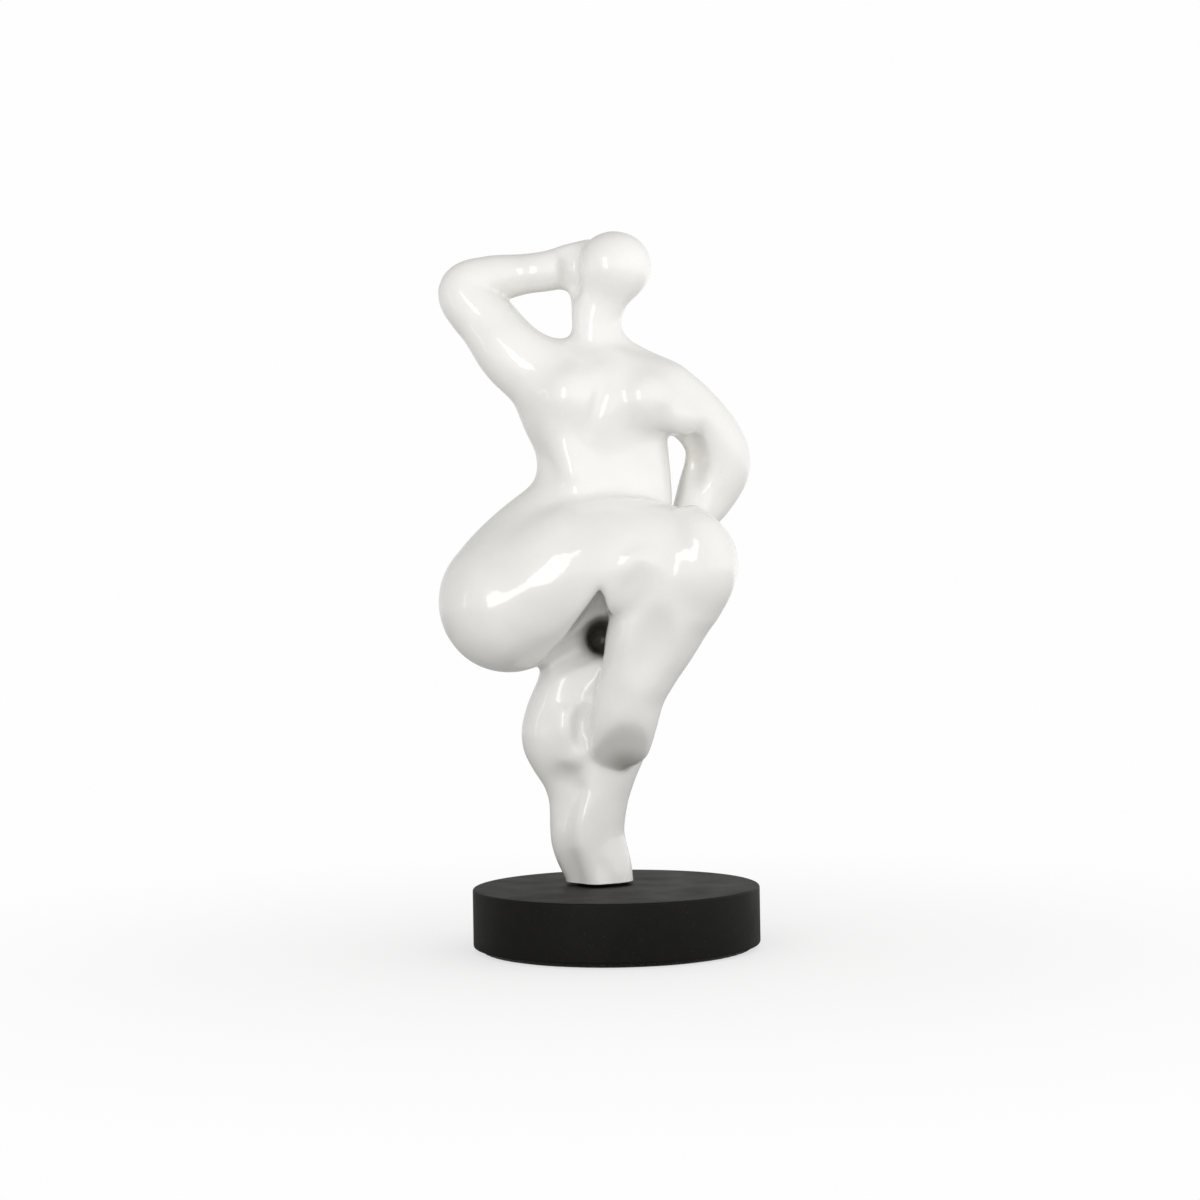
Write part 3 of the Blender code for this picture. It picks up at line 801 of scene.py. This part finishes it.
def mixed(nodes, links, factor, first, second):
    """Two colours or greys mixed by a factor; each may be a value or another node's output."""
    mix = nodes.new("ShaderNodeMix")
    mix.data_type = "RGBA"
    links.new(factor, mix.inputs["Factor"])
    for socket, given in ((mix.inputs["A"], first), (mix.inputs["B"], second)):
        if isinstance(given, tuple):
            socket.default_value = (*given, 1)
        elif isinstance(given, float):
            socket.default_value = (given, given, given, 1)
        else:
            links.new(given, socket)
    return mix.outputs["Result"]


def bump(nodes, links, height, depth, target, strength=0.5):
    """Relief from a height, depth metres deep, into a normal input."""
    relief = nodes.new("ShaderNodeBump")
    relief.inputs["Strength"].default_value = strength
    relief.inputs["Distance"].default_value = depth
    links.new(height, relief.inputs["Height"])
    links.new(relief.outputs["Normal"], target)


def scalar(nodes, links, operation, *terms):
    """One Math node; each term may be a number or another node's output."""
    math_node = nodes.new("ShaderNodeMath")
    math_node.operation = operation
    for socket, given in zip(math_node.inputs, terms):
        if isinstance(given, (int, float)):
            socket.default_value = given
        else:
            links.new(given, socket)
    return math_node.outputs["Value"]


def near(nodes, links, place, inner, outer):
    """1 inside a ball about a place on the figure, fading to 0 at the outer radius, in millimetres."""
    coordinates = nodes.new("ShaderNodeTexCoord")
    apart = nodes.new("ShaderNodeVectorMath")
    apart.operation = "DISTANCE"
    apart.inputs[1].default_value = plinth_top() + Vector(place) * MM
    links.new(coordinates.outputs["Object"], apart.inputs[0])
    return faded(nodes, links, apart.outputs["Value"], outer * MM, inner * MM)


def faded(nodes, links, value, nought, one):
    """The value mapped to 0..1 with soft ends."""
    fade = nodes.new("ShaderNodeMapRange")
    fade.interpolation_type = "SMOOTHSTEP"
    fade.inputs["From Min"].default_value = nought
    fade.inputs["From Max"].default_value = one
    links.new(value, fade.inputs["Value"])
    return fade.outputs["Result"]


def painted_end_shade(nodes, links):
    """A mask for painted shade on the crossed foot's cut end: grey, more so low on the right."""
    geometry = nodes.new("ShaderNodeNewGeometry")
    facing = nodes.new("ShaderNodeVectorMath")
    facing.operation = "DOT_PRODUCT"
    facing.inputs[1].default_value = FOOT_END_FACING
    links.new(geometry.outputs["Normal"], facing.inputs[0])
    flat = faded(nodes, links, facing.outputs["Value"], 0.9, 0.99)
    around = near(nodes, links, FOOT_END, 18, 26)
    depth = scalar(nodes, links, "MULTIPLY_ADD", near(nodes, links, FOOT_END_SHADE, 0, 16), 0.75, 0.05)
    return scalar(nodes, links, "MULTIPLY", scalar(nodes, links, "MULTIPLY", flat, around), depth)


def glaze():
    """White porcelain under a clear glossy glaze: warm and grey clouds, pinholes, orange peel, and painted
    shade on the crossed foot's cut end and deep behind the bent knee.
    """
    material, nodes, links, surface = new_material("glazed_porcelain", 0.32)
    clouds = noise(nodes, links, 26, 5)
    colour = ramp(nodes, links, clouds, (0.3, (0.82, 0.803, 0.77)), (0.65, (0.875, 0.869, 0.85)))
    specks = ramp(nodes, links, noise(nodes, links, 900, 1), (0.20, 0.5), (0.24, 0.0))
    colour = mixed(nodes, links, specks, colour, (0.72, 0.69, 0.63))
    # painted shade: the crossed foot's cut end is greyed, darkest low on the right
    colour = mixed(nodes, links, painted_end_shade(nodes, links), colour, (0.36, 0.33, 0.30))
    # painted shade: deep behind the bent knee the glaze is darkened almost to black
    colour = mixed(nodes, links, near(nodes, links, FOLD_PAINTED_SHADE, 8, 22), colour, (0.16, 0.15, 0.13))
    links.new(colour, surface.inputs["Base Color"])
    surface.inputs["Coat Weight"].default_value = 1.0
    surface.inputs["Coat IOR"].default_value = 1.5
    surface.inputs["Specular IOR Level"].default_value = 0.3
    sheen = ramp(nodes, links, noise(nodes, links, 60, 3), (0.35, 0.03), (0.7, 0.07))
    links.new(sheen, surface.inputs["Coat Roughness"])
    bump(nodes, links, noise(nodes, links, 220, 2), 0.0006, surface.inputs["Coat Normal"], 0.12)
    return material


def black_lacquer():
    """Satin black lacquer on a sanded board: dust nibs, uneven sheen."""
    material, nodes, links, surface = new_material("black_lacquer", 0.55)
    grain = noise(nodes, links, 180, 6)
    colour = ramp(nodes, links, grain, (0.35, (0.0038, 0.0037, 0.0026)), (0.7, (0.0054, 0.0052, 0.0038)))
    nibs = ramp(nodes, links, noise(nodes, links, 1500, 1), (0.72, 0.0), (0.76, 1.0))
    links.new(mixed(nodes, links, nibs, colour, (0.03, 0.029, 0.026)), surface.inputs["Base Color"])
    sheen = ramp(nodes, links, noise(nodes, links, 45, 4), (0.3, 0.50), (0.7, 0.62))
    links.new(sheen, surface.inputs["Roughness"])
    surface.inputs["Specular IOR Level"].default_value = 0.155
    bump(nodes, links, noise(nodes, links, 700, 3), 0.0002, surface.inputs["Normal"], 0.25)
    return material


def felt():
    """Dark felt: matted fibres that catch a little light."""
    material, nodes, links, surface = new_material("black_felt", 1.0)
    fibres = noise(nodes, links, 900, 6, (1, 2.5, 1))
    links.new(ramp(nodes, links, fibres, (0.3, 0.008), (0.75, 0.045)), surface.inputs["Base Color"])
    surface.inputs["Sheen Weight"].default_value = 0.5
    surface.inputs["Specular IOR Level"].default_value = 0.05
    bump(nodes, links, fibres, 0.0006, surface.inputs["Normal"], 0.9)
    return material


def rubber():
    """Black rubber with talc in its pores."""
    material, nodes, links, surface = new_material("black_rubber", 0.75)
    dust = ramp(nodes, links, noise(nodes, links, 400, 4), (0.5, 0.014), (0.8, 0.09))
    links.new(dust, surface.inputs["Base Color"])
    bump(nodes, links, noise(nodes, links, 1200, 2), 0.0002, surface.inputs["Normal"])
    return material


def plaster():
    """Plaster with air bubbles and damp-looking clouds."""
    material, nodes, links, surface = new_material("plaster", 0.9)
    damp = noise(nodes, links, 70, 5)
    colour = ramp(nodes, links, damp, (0.3, (0.60, 0.57, 0.51)), (0.7, (0.80, 0.78, 0.73)))
    pores = ramp(nodes, links, noise(nodes, links, 800, 1), (0.25, 1.0), (0.33, 0.0))
    links.new(mixed(nodes, links, pores, colour, (0.4, 0.38, 0.34)), surface.inputs["Base Color"])
    bump(nodes, links, noise(nodes, links, 500, 4), 0.0006, surface.inputs["Normal"])
    return material


def zinc():
    """Zinc-plated steel: spangles, a yellow cast in places and dull scuffs."""
    material, nodes, links, surface = new_material("zinc_steel", 0.35, 1.0)
    cast = noise(nodes, links, 120, 4)
    colour = ramp(nodes, links, cast, (0.35, (0.52, 0.52, 0.51)), (0.7, (0.66, 0.62, 0.50)))
    links.new(colour, surface.inputs["Base Color"])
    scuffs = ramp(nodes, links, noise(nodes, links, 600, 5, (1, 1, 4)), (0.35, 0.25), (0.7, 0.55))
    links.new(scuffs, surface.inputs["Roughness"])
    bump(nodes, links, noise(nodes, links, 1500, 3, (1, 1, 3)), 0.0001, surface.inputs["Normal"])
    return material


# Stage


STUDIO_LEVEL = 1.20  # the light from all round, on average
STUDIO_SLOPE = (0.35, -0.27, -0.78)  # its change along X, Y and Z: right, front and below are brighter
BACKDROP = 0.99  # the brightness of the background and of the far floor
FLOOR_REACH = 12.0
FADE_START = -0.6  # less than 0, so that the floor glows a little even under the plinth
FADE_SEEN = 0.5  # the distance at which the floor that the camera sees has turned into the backdrop
FADE_BOUNCED = 3.0  # the same for the light that the floor sends to the figure
LIT_HEIGHT = 0.18  # the height that the windows face
WINDOW = ((-0.95, -1.75, 0.25), (0.40, 1.5), 7.4)  # place from the lit point, width and height, watts
SIDE_WINDOW = ((-1.9, -0.45, 0.1), (0.12, 0.9), 0.6)
CAMERA_PLACE = (-0.00556, -1.166, 0.1696)
CAMERA_LENS = 71.64  # focal length in millimetres
CAMERA_ROLL = -0.953  # degrees


def studio(nodes, links, direction):
    """How bright the studio is in a direction."""
    slope = nodes.new("ShaderNodeVectorMath")
    slope.operation = "DOT_PRODUCT"
    slope.inputs[1].default_value = STUDIO_SLOPE
    links.new(direction, slope.inputs[0])
    return scalar(nodes, links, "ADD", slope.outputs["Value"], STUDIO_LEVEL)


def add_world():
    """Soft light from all round, behind which the camera sees an even backdrop."""
    world = bpy.data.worlds.new("studio")
    bpy.context.scene.world = world
    world.use_nodes = True
    nodes, links = world.node_tree.nodes, world.node_tree.links
    place = nodes.new("ShaderNodeTexCoord")
    ambient = nodes["Background"]
    ambient.inputs["Color"].default_value = (1, 0.998, 0.99, 1)
    links.new(studio(nodes, links, place.outputs["Generated"]), ambient.inputs["Strength"])
    backdrop = nodes.new("ShaderNodeBackground")
    backdrop.inputs["Color"].default_value = (BACKDROP, BACKDROP, BACKDROP, 1)
    seen = nodes.new("ShaderNodeLightPath")
    mix = nodes.new("ShaderNodeMixShader")
    links.new(seen.outputs["Is Camera Ray"], mix.inputs["Fac"])
    links.new(ambient.outputs[0], mix.inputs[1])
    links.new(backdrop.outputs[0], mix.inputs[2])
    links.new(mix.outputs[0], nodes["World Output"].inputs["Surface"])


def floor_finish():
    """A pale floor that fades into the backdrop, and that bounces less light than it shows."""
    material, nodes, links, surface = new_material("pale_floor", 0.7)
    seen = nodes.new("ShaderNodeLightPath")
    tone = nodes.new("ShaderNodeMix")
    tone.data_type = "RGBA"
    tone.inputs["A"].default_value = (0.44, 0.435, 0.42, 1)
    tone.inputs["B"].default_value = (0.97, 0.97, 0.97, 1)
    links.new(seen.outputs["Is Camera Ray"], tone.inputs["Factor"])
    links.new(tone.outputs["Result"], surface.inputs["Base Color"])
    surface.inputs["Specular IOR Level"].default_value = 0.1
    place = nodes.new("ShaderNodeTexCoord")
    outwards = nodes.new("ShaderNodeVectorMath")
    outwards.operation = "NORMALIZE"
    links.new(place.outputs["Object"], outwards.inputs[0])
    level = nodes.new("ShaderNodeMix")
    level.inputs["B"].default_value = BACKDROP
    links.new(seen.outputs["Is Camera Ray"], level.inputs["Factor"])
    links.new(studio(nodes, links, outwards.outputs["Vector"]), level.inputs["A"])
    glow = nodes.new("ShaderNodeEmission")
    links.new(level.outputs["Result"], glow.inputs["Strength"])
    distance = nodes.new("ShaderNodeVectorMath")
    distance.operation = "LENGTH"
    links.new(place.outputs["Object"], distance.inputs[0])
    reach = nodes.new("ShaderNodeMapRange")
    reach.inputs["To Min"].default_value = FADE_BOUNCED
    reach.inputs["To Max"].default_value = FADE_SEEN
    links.new(seen.outputs["Is Camera Ray"], reach.inputs["Value"])
    fade = nodes.new("ShaderNodeMapRange")
    fade.interpolation_type = "SMOOTHSTEP"
    fade.inputs["From Min"].default_value = FADE_START
    links.new(reach.outputs["Result"], fade.inputs["From Max"])
    links.new(distance.outputs["Value"], fade.inputs["Value"])
    mix = nodes.new("ShaderNodeMixShader")
    links.new(fade.outputs["Result"], mix.inputs["Fac"])
    links.new(surface.outputs[0], mix.inputs[1])
    links.new(glow.outputs[0], mix.inputs[2])
    links.new(mix.outputs[0], nodes["Material Output"].inputs["Surface"])
    return material


def add_floor():
    """The floor, a hair below the felt."""
    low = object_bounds()[0]
    bpy.ops.mesh.primitive_plane_add(size=2 * FLOOR_REACH, location=(0, 0, low[2] - 0.0001))
    floor = bpy.context.object
    floor.name = "floor"
    floor.data.materials.append(floor_finish())


def add_light(name, offset, size, power):
    """A rectangular soft light that faces the lit point from an offset."""
    target = Vector((0, 0, LIT_HEIGHT))
    place = target + Vector(offset)
    data = bpy.data.lights.new(name, "AREA")
    data.shape = "RECTANGLE"
    data.size, data.size_y = size
    data.energy = power
    light = bpy.data.objects.new(name, data)
    light.location = place
    light.rotation_euler = (target - place).to_track_quat("-Z", "Y").to_euler()
    bpy.context.scene.collection.objects.link(light)


def add_camera():
    """The photograph's view: level, from the front, and rolled a little."""
    data = bpy.data.cameras.new("camera")
    data.lens = CAMERA_LENS
    data.sensor_width = 36
    data.clip_start = 0.05
    camera = bpy.data.objects.new("camera", data)
    level = Matrix.Rotation(math.radians(90), 4, "X")
    roll = Matrix.Rotation(math.radians(CAMERA_ROLL), 4, "Z")
    camera.matrix_world = Matrix.Translation(CAMERA_PLACE) @ level @ roll
    bpy.context.scene.collection.objects.link(camera)
    bpy.context.scene.camera = camera


def main():
    """Builds the pieces and the studio."""
    figure_piece()
    plinth_piece()
    felt_piece()
    gasket_piece()
    plug_piece()
    metal = zinc()
    rod_piece(metal)
    nut_piece(metal)
    washer_pieces(metal)
    add_world()
    add_floor()
    add_light("window", *WINDOW)
    add_light("side_window", *SIDE_WINDOW)
    add_camera()
    bpy.context.scene.view_settings.view_transform = "Standard"


main()
